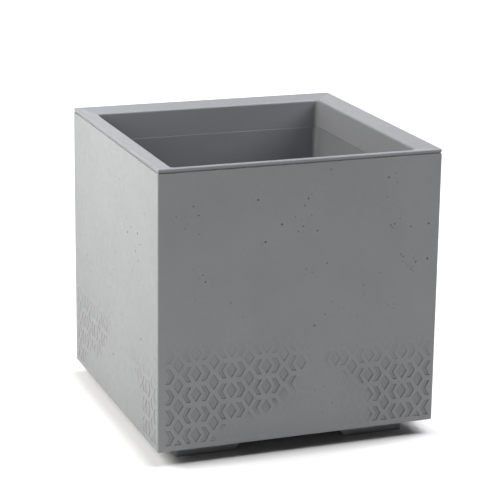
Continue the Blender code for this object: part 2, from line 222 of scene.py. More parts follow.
# Stage
CAMERA_PLACE = Vector((-0.9412, -2.5112, 0.9955))
CAMERA_AZIMUTH = 20.58  # from +Y towards +X, in degrees
CAMERA_TILT = 15.97  # downwards
CAMERA_ROLL = 0.78
CAMERA_LENS = 141.4  # millimetres, on a 36 mm sensor
CAMERA_REACH = 200.0
WHITE = (1.0, 1.0, 1.0, 1.0)
FLOOR_REACH = 30
FLOOR_ALBEDO = 0.58
FLOOR_ROUGHNESS = 0.9
FLOOR_SHINE = 0.1
NEAR_PAINTED_GLOW = 0.34  # painted light: the floor glows a little outside the planter's walls, which thins its shadow there
NEAR_PAINTED_GLOW_WIDTH = 0.026
LEFT_PAINTED_GLOW = 0.20  # painted light: more glow in a strip on the left, where the shadow from above would be wide
LEFT_STRIP = 0.12  # it has its full strength up to this far from the wall
LEFT_FADE = 1.5  # and has faded out at this many times that distance
LEFT_START = 0.036  # the strip starts this far under the wall
LEFT_RISE = 0.022  # and has its full strength from this much further out
FAR_GLOW = 0.20  # and more far away, which brings it near the backdrop's white
FAR_GLOW_START, FAR_GLOW_FULL = 1.5, 3.0
WORLD_FILL = 0.03  # light that the backdrop gives
WORLD_SHOWN = 1.0  # and how bright the camera sees it
OVERHEAD_FROM = Vector((0.25, 0.0, 0.97))  # wide soft light from above, a little to the right
OVERHEAD_DISTANCE = 3  # only the direction of a sun matters
OVERHEAD_SPREAD = math.radians(28)
OVERHEAD_STRENGTH = 2.20
WARM = (1.0, 0.985, 0.945)
COOL = (0.985, 0.98, 1.0)
SOFTBOXES = (  # name, place, target, side of the square box, power, colour
    ("left_high", (-0.75, 0.15, 0.80), (0.0, 0.0, 0.2), 0.6, 6.9, WARM),
    ("left_low", (-0.9, -0.1, 0.6), (0.0, 0.0, 0.2), 0.6, 5.1, WARM),
    ("right", (1.1, -0.2, 1.2), (0.0, 0.0, 0.2), 0.8, 21.0, COOL),
    ("floor_left", (-1.3, 1.5, 0.9), (-1.3, 1.5, 0.0), 1.4, 10.0, COOL),
    ("floor_near", (0.9, 2.4, 1.0), (0.9, 2.4, 0.0), 2.2, 24.0, COOL),
    ("floor_back", (1.6, 4.8, 1.3), (1.6, 4.8, 0.0), 3.5, 55.0, COOL),
)

# Materials
WALL_GREY = (0.235, 0.240, 0.248)
PLASTICS = {  # colour, roughness, mottle, speck, grain, and the tones of the painted shade in recesses and creases, which in the shell's pits is partly dirt
    "shell_plastic": (WALL_GREY, 0.55, 0.035, 0.15, 0.00012, (0.09, 0.50)),
    # the frame's recess tone is painted shade on its outer band
    "frame_plastic": ((0.234, 0.238, 0.255), 0.50, 0.020, 0.05, 0.00006, (0.20, 0.0)),
    # the liner's recess tone is painted shade on its top edge
    "liner_plastic": ((0.212, 0.217, 0.234), 0.50, 0.020, 0.05, 0.00006, (0.30, 0.0)),
    "foot_plastic": (WALL_GREY, 0.60, 0.030, 0.05, 0.00010, (0.0, 0.0)),
    "plug_rubber": ((0.035, 0.035, 0.037), 0.70, 0.050, 0.00, 0.00005, (0.0, 0.0)),
}
CLOUDS = (13.0, 5.0, 0.6)  # scale, detail and roughness of a noise
FLECKS = (240.0, 5.0, 0.65)
SPECKS = (520.0, 1.0)
SHINE_PATCHES = (90.0, 3.0)
BROAD_GRAIN = (160.0, 3.0)
FINE_GRAIN = (1300.0, 3.0)
NOISE_MIDDLE = (0.3, 0.7)  # where most of a noise's values lie
FLECKS_MIDDLE = (0.25, 0.75)
SPECKS_FROM = (0.70, 0.78)
ROUGHNESS_PLAY = 0.05
BROAD_SHARE = 0.4  # depth of the broad grain against the fine one
STEEL = (0.55, 0.55, 0.56)
STEEL_TONES = (0.85, 1.1)
STEEL_ROUGHNESS = (0.28, 0.45)
STEEL_GRAIN = 0.00003
STEEL_TONE_PATCHES = (400.0, 3.0)
STEEL_SHINE_PATCHES = (900.0, 2.0)
STEEL_FINE_GRAIN = (1500.0, 2.0)


def ramp(x, start, end):
    """0 before start and 1 after end, with a smooth rise between."""
    t = min(max((x - start) / (end - start), 0.0), 1.0)
    return t * t * (3 - 2 * t)


def along_line(x, points):
    """Height of a polyline of (x, y) points at x, level beyond its ends."""
    if x <= points[0][0]:
        return points[0][1]
    for (x0, y0), (x1, y1) in zip(points, points[1:]):
        if x <= x1:
            return y0 + (y1 - y0) * (x - x0) / (x1 - x0)
    return points[-1][1]


# ---------------------------------------------------------------- mesh helpers

def ring_points(low, high, radius, steps=ARC, cuts=1):
    """(x, y) round a rounded rectangle, counter-clockwise from above, its straight runs cut into pieces."""
    corners = []
    for quarter, (right, back) in enumerate(((1, 1), (0, 1), (0, 0), (1, 0))):
        x = high[0] - radius if right else low[0] + radius
        y = high[1] - radius if back else low[1] + radius
        angles = [math.pi / 2 * (quarter + step / steps) for step in range(steps + 1)]
        corners.append([Vector((x + radius * math.cos(a), y + radius * math.sin(a))) for a in angles])
    points = []
    for corner, following in zip(corners, corners[1:] + corners[:1]):
        points += corner
        for cut in range(1, cuts):
            points.append(corner[-1].lerp(following[0], cut / cuts))
    return points


def add_loop(bm, points, z):
    return [bm.verts.new((p[0], p[1], z)) for p in points]


def square_loop(bm, half, z, radius, steps=ARC, cuts=1):
    return add_loop(bm, ring_points((-half, -half), (half, half), radius, steps, cuts), z)


def round_loop(bm, radius, z, sides=ROUND_SIDES, centre=(0.0, 0.0)):
    angles = [2 * math.pi * side / sides for side in range(sides)]
    points = [(centre[0] + radius * math.cos(a), centre[1] + radius * math.sin(a)) for a in angles]
    return add_loop(bm, points, z)


def skin_loops(bm, loops, closed=False):
    """Join neighbouring loops with faces, and either cap both ends or join the last loop to the first."""
    following = loops[1:] + loops[:1] if closed else loops[1:]
    for first, second in zip(loops, following):
        for i in range(len(first)):
            j = (i + 1) % len(first)
            bm.faces.new((first[i], first[j], second[j], second[i]))
    if not closed:
        bm.faces.new(loops[0])
        bm.faces.new(loops[-1])


def side_prism(bm, profile, along, width, side):
    """Extrude an (inset, height) profile along one of the four sides, centred at the place along it."""
    turn = Matrix.Rotation(math.pi / 2 * side, 4, "Z")
    ends = []
    for x in (along - width / 2, along + width / 2):
        ends.append([bm.verts.new(turn @ Vector((x, -HALF + inset, z))) for inset, z in profile])
    skin_loops(bm, ends)


def arc_profile(centre, radius, start, end, steps=ARC):
    """(inset, height) points on an arc. Angle 0 points to the outside and 90 degrees points up."""
    angles = [start + (end - start) * step / steps for step in range(steps + 1)]
    return [(centre[0] - radius * math.cos(a), centre[1] + radius * math.sin(a)) for a in angles]


def to_object(name, bm):
    bmesh.ops.recalc_face_normals(bm, faces=bm.faces)
    mesh = bpy.data.meshes.new(name)
    bm.to_mesh(mesh)
    bm.free()
    obj = bpy.data.objects.new(name, mesh)
    bpy.context.scene.collection.objects.link(obj)
    return obj


def apply_modifiers(obj):
    graph = bpy.context.evaluated_depsgraph_get()
    mesh = bpy.data.meshes.new_from_object(obj.evaluated_get(graph))
    obj.modifiers.clear()
    obj.data = mesh
    mesh.name = obj.name


def boolean(obj, bm, operation):
    """Join a bmesh to an object or cut it away, for good."""
    helper = to_object(obj.name + "_helper", bm)
    modifier = obj.modifiers.new("boolean", "BOOLEAN")
    modifier.operation = operation
    modifier.solver = "EXACT"
    modifier.object = helper
    bpy.context.view_layer.update()
    apply_modifiers(obj)
    bpy.data.objects.remove(helper)


def shade(obj, sharp=SHARP_ANGLE):
    """Smooth shading with flat faces kept flat: normals are weighted by area."""
    obj.data.shade_smooth()
    obj.data.set_sharp_from_angle(angle=math.radians(sharp))
    modifier = obj.modifiers.new("weighted", "WEIGHTED_NORMAL")
    modifier.keep_sharp = True
    modifier.weight = 100
    bpy.context.view_layer.update()
    apply_modifiers(obj)


def paint_shade(obj, share):
    """Keep on each vertex the share of painted shade that a function of its place gives."""
    layer = obj.data.attributes.new("recess", "FLOAT", "POINT")
    for vert in obj.data.vertices:
        layer.data[vert.index].value = share(vert.co)


def finish_piece(obj, body, material, node):
    """Give a piece its material, hang it under its body's empty, and hide the part of the imported model that
    it replaces.
    """
    obj.data.materials.clear()
    obj.data.materials.append(material)
    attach(obj, body)
    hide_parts(node)


# ---------------------------------------------------------------- face relief

def lattice_depth(along, up, narrowed):
    """How deep the lattice is cut at a place on a face: full in the two lower corners, fading upwards.

    A faint rest of it, the ghost, is left just beyond the two patches.
    """
    left_edge = along_line(up, LEFT_PATCH_EDGE) - narrowed
    right_edge = along_line(up, RIGHT_PATCH_EDGE) + narrowed
    inside = max(
        1 - ramp(along, left_edge, left_edge + PATCH_FADE),
        ramp(along, right_edge - PATCH_FADE, right_edge),
    )
    lowered = RIGHT_LOWERED * ramp(along, *LOWERED_BETWEEN)
    fade = 1 - ramp(up + lowered, LATTICE_FULL, LATTICE_GONE)
    ghost = GHOST_SHARE * (1 - ramp(up, GHOST_FULL, GHOST_GONE))
    ghost *= max(
        1 - ramp(along, left_edge + GHOST_NEAR, left_edge + GHOST_FAR),
        ramp(along, right_edge - GHOST_FAR, right_edge - GHOST_NEAR),
    )
    return LATTICE_DEPTH * max(inside * fade, ghost)


def chevron(side):
    """Outline of a chevron that points left (-1) or right (1) of its cell's middle."""
    slant = CHEVRON_HALF_HEIGHT * CHEVRON_SLANT
    tip, inner = CHEVRON_TIP, CHEVRON_TIP - CHEVRON_STROKE
    h = CHEVRON_HALF_HEIGHT
    points = (
        (tip, 0.0), (tip - slant, h), (inner - slant, h),
        (inner, 0.0), (inner - slant, -h), (tip - slant, -h),
    )
    return [(side * x, y) for x, y in (points if side > 0 else reversed(points))]


def rhombus():
    """Outline of a rhombus round its cell's middle."""
    wide, high = RHOMBUS_HALF_WIDTH, RHOMBUS_HALF_HEIGHT
    return [(wide, 0.0), (0.0, high), (-wide, 0.0), (0.0, -high)]


def clip_below(points, least):
    """The part of an outline at or above a height, where any level line crosses the outline only twice."""
    kept = []
    for (x0, y0), (x1, y1) in zip(points, points[1:] + points[:1]):
        if y0 >= least:
            kept.append((x0, y0))
        if (y0 >= least) != (y1 >= least):
            share = (least - y0) / (y1 - y0)
            kept.append((x0 + (x1 - x0) * share, least))
    return kept


def inset_outline(points, distance):
    """A counter-clockwise outline with each side moved inwards."""
    lines = []
    for a, b in zip(points, points[1:] + points[:1]):
        start, end = Vector(a), Vector(b)
        run = (end - start).normalized()
        lines.append((start + distance * Vector((-run.y, run.x)), run))
    result = []
    for (p, d), (q, e) in zip(lines[-1:] + lines[:-1], lines):
        t = (q - p).cross(e) / d.cross(e)
        result.append(tuple(p + t * d))
    return result


def lattice_outlines():
    """Outlines of all the lattice's recesses on one face."""
    outlines = []
    for column in range(LAST_COLUMN + 1):
        for row in range(-1, LAST_ROW + 1):
            middle = FIRST_COLUMN + column * COLUMN_PITCH
            height = FIRST_ROW + row * ROW_PITCH
            shapes = []
            if row >= 0 and column > 0:
                shapes.append((chevron(-1), middle, height))
            if row >= 0 and column < LAST_COLUMN:
                shapes.append((chevron(1), middle, height))
            if row >= 0 and 0 < column < LAST_COLUMN:
                shapes.append((rhombus(), middle, height))
            if column < LAST_COLUMN:
                shapes.append((rhombus(), middle + COLUMN_PITCH / 2, height + ROW_PITCH / 2))
            for shape, along, up in shapes:
                outlines.append(clip_below([(along + x, up + y) for x, y in shape], LATTICE_CUT))
    return outlines


def lattice_loops(lattice_share, narrowed):
    """The lattice's rings on one face, and the (middle, reach) of each recess."""
    loops = []
    taken = []
    for outline in lattice_outlines():
        foot = inset_outline(outline, LATTICE_WALL)
        inner = inset_outline(outline, LATTICE_WALL + LATTICE_CREASE)
        depths = [lattice_share * lattice_depth(*point, narrowed) for point in foot]
        if max(depths) < LATTICE_LEAST:
            continue
        middle = (sum(p[0] for p in outline) / len(outline), sum(p[1] for p in outline) / len(outline))
        taken.append((middle, max(math.dist(middle, p) for p in outline)))
        outer = inset_outline(outline, -PAINTED_HIGHLIGHT_WIDTH)
        shares = [depth / LATTICE_DEPTH for depth in depths]
        # Rings of a recess: the plain face; its outline, with a negative crease share meant as a painted
        # highlight; its foot, where the crease share paints a shade line; and its floor. Foot and floor carry a
        # recess share of painted shade.
        loops.append([(*point, 0.0, 0.0, 0.0) for point in outer])
        loops.append([(*point, 0.0, 0.0, PAINTED_HIGHLIGHT_TONE * share) for point, share in zip(outline, shares)])
        for ring, shade_and_dirt in ((foot, 1.0), (inner, 0.0)):
            loops.append([(*point, LATTICE_DEPTH * share, share, shade_and_dirt * share ** 0.5)
                          for point, share in zip(ring, shares)])
    return loops, taken


def pit(rng, centre, radius):
    """The uneven rings of a pit, and its deepest point."""
    depth = radius * rng.uniform(*PIT_DEPTHS)
    stretch = rng.uniform(*PIT_STRETCHES)
    turn = rng.uniform(0, math.pi)
    sizes = [radius * rng.uniform(*PIT_UNEVENNESS) for _ in range(PIT_SIDES)]
    rings = []
    for share, sink in PIT_RINGS:
        ring = []
        for side, size in enumerate(sizes):
            angle = 2 * math.pi * side / PIT_SIDES
            x, y = share * size * math.cos(angle) * stretch, share * size * math.sin(angle)
            along = centre[0] + x * math.cos(turn) - y * math.sin(turn)
            up = centre[1] + x * math.sin(turn) + y * math.cos(turn)
            ring.append((along, up, sink * depth, sink, PIT_SHADE_AND_DIRT * sink))
        rings.append(ring)
    return rings, (*centre, depth, 1.0, PIT_SHADE_AND_DIRT)


def face_relief(seed, lattice_share, narrowed):
    """Outlines and single points of one face, as lists of (along, up, depth, recess, crease).

    Recess and crease are the two shares of painted shade that the material reads, with some dirt in the
    pits. A negative crease share is meant as a painted highlight. The third list has the (middle, reach) of
    each recess and pit.
    """
    loops, taken = lattice_loops(lattice_share, narrowed)
    points = []
    rng = random.Random(seed)
    height = SHELL_TOP - WALL_FOOT
    start, right, top = CLUSTER_MARGIN, SIDE - CLUSTER_MARGIN, height - CLUSTER_MARGIN
    clusters = [(rng.uniform(start, right), rng.uniform(start, top)) for _ in range(CLUSTERS)]
    placed = 0
    while placed < PIT_COUNT:
        radius = PIT_LEAST + PIT_SPREAD * rng.random() ** PIT_SKEW
        centre = (rng.uniform(PIT_MARGIN, SIDE - PIT_MARGIN), rng.uniform(PIT_MARGIN, height - PIT_MARGIN))
        if placed % 2:
            middle = rng.choice(clusters)
            centre = (rng.gauss(middle[0], CLUSTER_SPREAD), rng.gauss(middle[1], CLUSTER_SPREAD))
        margin = PIT_LEAST_MARGIN
        if not margin < centre[0] < SIDE - margin or not margin < centre[1] < height - margin:
            continue
        if any(math.dist(centre, middle) < reach + radius + RELIEF_GAP for middle, reach in taken):
            continue
        rings, deepest = pit(rng, centre, radius)
        loops += rings
        points.append(deepest)
        taken.append((centre, PIT_REACH * radius))
        placed += 1
    return loops, points, taken


def face_sheet(bm, side):
    """One flat outer face with its relief, from corner arc to corner arc."""
    left, right = SHELL_CORNER, SIDE - SHELL_CORNER
    low, high = SHELL_FOOT_UP, SHELL_TOP - WALL_FOOT - SHELL_TOP_ROUND
    corners = [Vector((left, low)), Vector((right, low)), Vector((right, high)), Vector((left, high))]
    border = []
    for a, b in zip(corners, corners[1:] + corners[:1]):
        border += [a.lerp(b, cut / FACE_CUTS) for cut in range(FACE_CUTS)]
    lattice_share, narrowed = (SIDE_SHARE, SIDE_NARROWED) if side else (1.0, 0.0)
    loops, points, taken = face_relief(FIRST_SEED + side, lattice_share, narrowed)
    loops.insert(0, [(p.x, p.y, 0.0, 0.0, 0.0) for p in border])
    for column in range(1, FACE_CUTS):
        for row in range(1, FACE_CUTS):
            along = left + (right - left) * column / FACE_CUTS
            up = low + (high - low) * row / FACE_CUTS
            if all(math.dist((along, up), middle) > reach + RELIEF_GAP for middle, reach in taken):
                points.append((along, up, 0.0, 0.0, 0.0))
    given = [point for loop in loops for point in loop] + points
    edges = []
    start = 0
    for loop in loops:
        edges += [(start + i, start + (i + 1) % len(loop)) for i in range(len(loop))]
        start += len(loop)
    flat = [Vector((along, up)) * MILLIMETRES for along, up, _, _, _ in given]
    spots, _, faces, origins, _, _ = delaunay_2d_cdt(flat, edges, [], 0, TRIANGULATION_NEAR)
    recess, crease = (bm.verts.layers.float.get(name) for name in ("recess", "crease"))
    turn = Matrix.Rotation(math.pi / 2 * side, 4, "Z")
    verts = []
    for spot, origin in zip(spots, origins):
        depth, deep, shade_and_dirt = given[origin[0]][2:] if origin else (0.0, 0.0, 0.0)
        along, up = spot.x / MILLIMETRES, spot.y / MILLIMETRES
        vert = bm.verts.new(turn @ Vector((along - HALF, -HALF + depth, WALL_FOOT + up)))
        # recess and crease are shares of painted shade for the material, with some dirt in the pits
        vert[recess], vert[crease] = deep, shade_and_dirt
        verts.append(vert)
    for face in faces:
        bm.faces.new([verts[i] for i in face])


# ---------------------------------------------------------------- shell

def foot_middle(corner):
    """Where the screw of a foot stands."""
    low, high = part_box("foot_screw_" + corner)
    return (low + high) / 2


def shell_cup():
    """The shell without its four flat outer faces' relief, as one closed body."""
    bm = bmesh.new()
    foot = [(SHELL_FOOT_IN * inset, WALL_FOOT + SHELL_FOOT_UP * z)
            for inset, z in arc_profile((1.0, 1.0), 1.0, -math.pi / 2, 0.0, FOOT_ARC)]
    crown = [(inset, SHELL_TOP + z) for inset, z in arc_profile(
        (SHELL_TOP_ROUND, -SHELL_TOP_ROUND), SHELL_TOP_ROUND, 0.0, math.pi / 2, SMALL_ARC)]
    low, high = foot[-1][1], crown[0][1]
    levels = [(0.0, low + (high - low) * cut / FACE_CUTS) for cut in range(1, FACE_CUTS)]
    below = [(SHELL_WALL, FLOOR_UNDER), (SHELL_WALL, WALL_FOOT)]
    above = [(SHELL_WALL, SHELL_TOP), (SHELL_WALL, FLOOR_TOP)]
    rings = []
    for inset, z in below + foot + levels + crown + above:
        radius = SHELL_INNER_CORNER if inset == SHELL_WALL else SHELL_CORNER
        rings.append(square_loop(bm, HALF - inset, z, radius, ARC, FACE_CUTS))
    skin_loops(bm, rings)
    obj = to_object("planter_shell", bm)

    root = SHELL_WALL - JOIN
    rib = (
        (root, FLOOR_TOP - JOIN),
        (RIB_DEPTH, FLOOR_TOP - JOIN),
        (RIB_DEPTH, RIB_TOP - RIB_TOP_FALL),
        (root, RIB_TOP),
    )
    catch = (
        (root, CATCH_BOTTOM),
        (CATCH_REACH, CATCH_BOTTOM),
        (CATCH_REACH - CATCH_DRAFT, CATCH_TOP),
        (root, CATCH_TOP),
    )
    inside = bmesh.new()
    for side in range(4):
        side_prism(inside, rib, 0.0, RIB_THICKNESS, side)
        for along in TAB_PLACES:
            side_prism(inside, catch, along, CATCH_WIDTH, side)
    boolean(obj, inside, "UNION")
    low, high = FLOOR_UNDER - 2 * JOIN, FLOOR_TOP + 2 * JOIN
    outlet = bmesh.new()
    skin_loops(outlet, [round_loop(outlet, OUTLET_RADIUS, z) for z in (low, high)])
    boolean(obj, outlet, "DIFFERENCE")
    sink = (
        (SCREW_HOLE, low),
        (SCREW_HOLE, FLOOR_TOP - SINK_SLOPE_FOOT),
        (SINK_RADIUS, FLOOR_TOP - SINK_SLOPE_TOP),
        (SINK_RADIUS, high),
    )
    holes = bmesh.new()
    for corner in CORNERS:
        centre = foot_middle(corner)
        skin_loops(holes, [round_loop(holes, radius, z, SCREW_SIDES, centre) for radius, z in sink])
    boolean(obj, holes, "DIFFERENCE")
    return obj


def build_shell(material):
    """The cup, with its flat outer faces replaced by sheets that carry the relief."""
    obj = shell_cup()
    bm = bmesh.new()
    bm.from_mesh(obj.data)
    flat = HALF - SHELL_CORNER + NEAR
    low, high = WALL_FOOT + SHELL_FOOT_UP - NEAR, SHELL_TOP - SHELL_TOP_ROUND + NEAR

    def on_face(vert, axis):
        across = vert.co[1 - axis]
        return abs(abs(vert.co[axis]) - HALF) < NEAR and abs(across) < flat and low < vert.co.z < high

    outer = [f for f in bm.faces if any(all(on_face(v, axis) for v in f.verts) for axis in (0, 1))]
    bmesh.ops.delete(bm, geom=outer, context="FACES")
    for name in ("recess", "crease"):
        bm.verts.layers.float.new(name)
    for side in range(4):
        face_sheet(bm, side)
    bmesh.ops.remove_doubles(bm, verts=bm.verts, dist=WELD)
    bm.to_mesh(obj.data)
    bm.free()
    shade(obj, SHELL_SHARP_ANGLE)
    finish_piece(obj, "shell", material, "outer_shell")


# ---------------------------------------------------------------- top frame

def frame_profile():
    """The top frame's section: band, sloping top, collar, then back up inside and down the skirt."""
    crest = math.pi / 2 + FRAME_SLOPE
    outer = arc_profile((FRAME_OUTER_ROUND, TOTAL_HEIGHT - FRAME_OUTER_ROUND), FRAME_OUTER_ROUND, 0.0, crest)
    slope_start, slope_height = outer[-1]
    inner_inset = FRAME_WIDTH - FRAME_INNER_ROUND
    slope_end = inner_inset + FRAME_INNER_ROUND * math.sin(FRAME_SLOPE)
    fall = (slope_end - slope_start) * math.tan(FRAME_SLOPE)
    inner_height = slope_height - fall - FRAME_INNER_ROUND * math.cos(FRAME_SLOPE)
    inner = arc_profile((inner_inset, inner_height), FRAME_INNER_ROUND, crest, math.pi)
    collar_back = FRAME_WIDTH - FRAME_THICKNESS
    collar_round = arc_profile(
        (FRAME_WIDTH - BAND_ROUND, FRAME_COLLAR_FOOT + BAND_ROUND),
        BAND_ROUND, math.pi, 1.5 * math.pi, SMALL_ARC)
    skirt_face = SHELL_WALL + SEAT
    skirt_back = skirt_face + FRAME_THICKNESS
    skirt_bottom = SHELL_TOP - SKIRT_LENGTH
    slope_under = slope_height - (skirt_back - slope_start) * math.tan(FRAME_SLOPE)
    slope_under -= FRAME_THICKNESS / math.cos(FRAME_SLOPE)
    seat = SHELL_TOP + SEAT
    band_foot = SHELL_TOP + SHADOW_GAP
    inside = [
        (collar_back, FRAME_COLLAR_FOOT),
        (collar_back, inner_height),
        (skirt_back, slope_under),
        (skirt_back, skirt_bottom),
        (skirt_face, skirt_bottom),
        (skirt_face, seat),
        (SHADOW_DEPTH, seat),
        (SHADOW_DEPTH, band_foot),
    ]
    band = arc_profile(
        (BAND_SET_IN + BAND_ROUND, band_foot + BAND_ROUND), BAND_ROUND, -math.pi / 2, 0.0, SMALL_ARC)
    return outer + inner + collar_round + inside + band


def frame_corner(inset):
    """Corner radius of the frame at an inset: tight outside, wider at the opening."""
    if inset <= BAND_SET_IN:
        return SHELL_CORNER - inset
    return FRAME_CORNER_LEAST + (FRAME_CORNER - FRAME_CORNER_LEAST) * (inset / FRAME_WIDTH) ** 2


def frame_tabs():
    """Snap tabs that hang from the skirt and hook under the shell's catches."""
    face = CATCH_REACH + TAB_CLEARANCE
    back = face + TAB_THICKNESS
    hook_tip = SHELL_WALL + HOOK_CLEARANCE
    hook_top = CATCH_BOTTOM - TAB_CLEARANCE
    hook_bottom = hook_top - HOOK_HEIGHT
    skirt_bottom = SHELL_TOP - SKIRT_LENGTH
    profile = (
        (face - JOIN, skirt_bottom + TAB_ROOT),
        (back - JOIN, skirt_bottom + TAB_ROOT),
        (back, skirt_bottom + JOIN),
        (back, hook_bottom + HOOK_CHAMFER),
        (back - HOOK_CHAMFER, hook_bottom),
        (hook_tip, hook_top - HOOK_CHAMFER),
        (hook_tip, hook_top),
        (face, hook_top),
        (face, skirt_bottom + JOIN),
        (face - JOIN, skirt_bottom + 2 * JOIN),
    )
    bm = bmesh.new()
    for side in range(4):
        for along in TAB_PLACES:
            side_prism(bm, profile, along, TAB_WIDTH, side)
    return bm


def build_frame(material):
    bm = bmesh.new()
    loops = [square_loop(bm, HALF - inset, z, frame_corner(inset)) for inset, z in frame_profile()]
    skin_loops(bm, loops, closed=True)
    obj = to_object("planter_frame", bm)
    boolean(obj, frame_tabs(), "UNION")
    shade(obj)
    crown = TOTAL_HEIGHT - FRAME_OUTER_ROUND

    # Painted shade on the band below the crown.
    def band_painted_shade(place):
        outside = max(abs(place.x), abs(place.y)) > HALF - SHADOW_DEPTH + SEAT / 2
        return 1 - ramp(place.z, crown, crown + BAND_PAINTED_SHADE_FADE) if outside else 0.0

    paint_shade(obj, band_painted_shade)
    finish_piece(obj, "shell", material, "top_frame")


# ---------------------------------------------------------------- liner and plug

def liner_half(z):
    """Half the liner's outer width at a height."""
    return LINER_HIGH.x - (LINER_HIGH.z - z) * LINER_DRAFT


def build_liner(material):
    low, top = LINER_LOW.z, LINER_HIGH.z
    outer_corner = LINER_CORNER + LINER_WALL
    foot = arc_profile((LINER_FOOT_ROUND, low + LINER_FOOT_ROUND), LINER_FOOT_ROUND, -math.pi / 2, 0.0)
    neck = [(0.0, top - LINER_LIP_HEIGHT), (-LINER_LIP, top - LINER_LIP_HEIGHT + LINER_LIP)]
    rim = arc_profile(
        (LINER_RIM_ROUND - LINER_LIP, top - LINER_RIM_ROUND), LINER_RIM_ROUND, 0.0, math.pi / 2, SMALL_ARC)
    edge = arc_profile((0.0, top - LINER_EDGE), LINER_EDGE, math.pi / 2, math.pi, SMALL_ARC)
    edge.append((LINER_WALL, top - LINER_TAPER))
    fillet = arc_profile(
        (LINER_WALL + LINER_FILLET, LINER_FLOOR_TOP + LINER_FILLET), LINER_FILLET, 0.0, -math.pi / 2)
    bm = bmesh.new()
    loops = [square_loop(bm, liner_half(z) - inset, z, outer_corner - min(inset, LINER_WALL))
             for inset, z in foot + neck + rim + edge + fillet]
    skin_loops(bm, loops)
    obj = to_object("planter_liner", bm)
    hole = bmesh.new()
    skin_loops(hole, [round_loop(hole, PLUG_HOLE, z) for z in (low - JOIN, LINER_FLOOR_TOP + JOIN)])
    boolean(obj, hole, "DIFFERENCE")
    shade(obj)
    # Painted shade on the liner's top edge.
    paint_shade(obj, lambda place: ramp(place.z, top - LEDGE_PAINTED_SHADE, top))
    finish_piece(obj, "liner", material, "liner")


def build_plug(material):
    """Hollow stem, flat round-edged head and an upright bar to pull."""
    stem = PLUG_HOLE - SEAT
    seat = LINER_FLOOR_TOP + SEAT
    low, head = PLUG_LOW.z, PLUG_HIGH.x
    profile = [
        (stem - PLUG_SKIN, seat),
        (stem - PLUG_SKIN, low),
        (stem - PLUG_EDGE, low),
        (stem, low + PLUG_EDGE),
        (stem, seat),
        (head - PLUG_EDGE / 2, seat),
    ]
    rim = arc_profile((PLUG_EDGE, PLUG_HEAD_TOP - PLUG_EDGE), PLUG_EDGE, 0.0, math.pi / 2)
    profile += [(head - inset, z) for inset, z in rim]
    bm = bmesh.new()
    skin_loops(bm, [round_loop(bm, radius, z) for radius, z in profile])
    obj = to_object("planter_plug", bm)
    bar = bmesh.new()
    loops = []
    half_length, half_width = PULL_SIZE[0] / 2, PULL_SIZE[1] / 2
    crown = arc_profile((PLUG_EDGE, PLUG_HIGH.z - PLUG_EDGE), PLUG_EDGE, 0.0, math.pi / 2)
    for inset, z in [(0.0, PLUG_HEAD_TOP - JOIN)] + crown:
        x, y = half_length - inset, half_width - inset
        loops.append(add_loop(bar, ring_points((-x, -y), (x, y), min(PULL_CORNER, y)), z))
    skin_loops(bar, loops)
    boolean(obj, bar, "UNION")
    shade(obj)
    finish_piece(obj, "plug", material, "drain_plug")


# ---------------------------------------------------------------- feet

def build_foot(corner, material):
    """A hollow block, open below, with round lower edges, slanted inner ends and a screw post inside."""
    node = "foot_" + corner
    low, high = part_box(node)
    inner_x = 1 if low.x < 0 else 0
    inner_y = 1 if low.y < 0 else 0

    def outline(shrink, z):
        run_in = FOOT_SLANT * (1 - z / high.z)
        x = [low.x + shrink, high.x - shrink]
        y = [low.y + shrink, high.y - shrink]
        x[inner_x] += run_in * (-1 if inner_x else 1)
        y[inner_y] += run_in * (-1 if inner_y else 1)
        return (x[0], y[0]), (x[1], y[1])

    pocket_top = high.z - FOOT_ROOF
    edge = arc_profile((FOOT_ROUND, FOOT_ROUND), FOOT_ROUND, 0.0, -math.pi / 2)
    profile = [(0.0, high.z)] + edge + [(FOOT_WALL, 0.0), (FOOT_WALL, pocket_top)]
    bm = bmesh.new()
    loops = []
    for shrink, z in profile:
        radius = FOOT_CORNER / 2 if shrink == FOOT_WALL else FOOT_CORNER
        loops.append(add_loop(bm, ring_points(*outline(shrink, z), radius), z))
    skin_loops(bm, loops)
    obj = to_object("planter_" + node, bm)
    centre = foot_middle(corner)
    post = bmesh.new()
    ends = (BOSS_BOTTOM, pocket_top + JOIN)
    skin_loops(post, [round_loop(post, BOSS_RADIUS, z, SCREW_SIDES, centre) for z in ends])
    boolean(obj, post, "UNION")
    pilot = bmesh.new()
    ends = (FLOOR_TOP - PILOT_DEPTH, high.z + JOIN)
    skin_loops(pilot, [round_loop(pilot, PILOT_RADIUS, z, SCREW_SIDES, centre) for z in ends])
    boolean(obj, pilot, "DIFFERENCE")
    shade(obj)
    finish_piece(obj, "shell", material, node)


# ---------------------------------------------------------------- materials

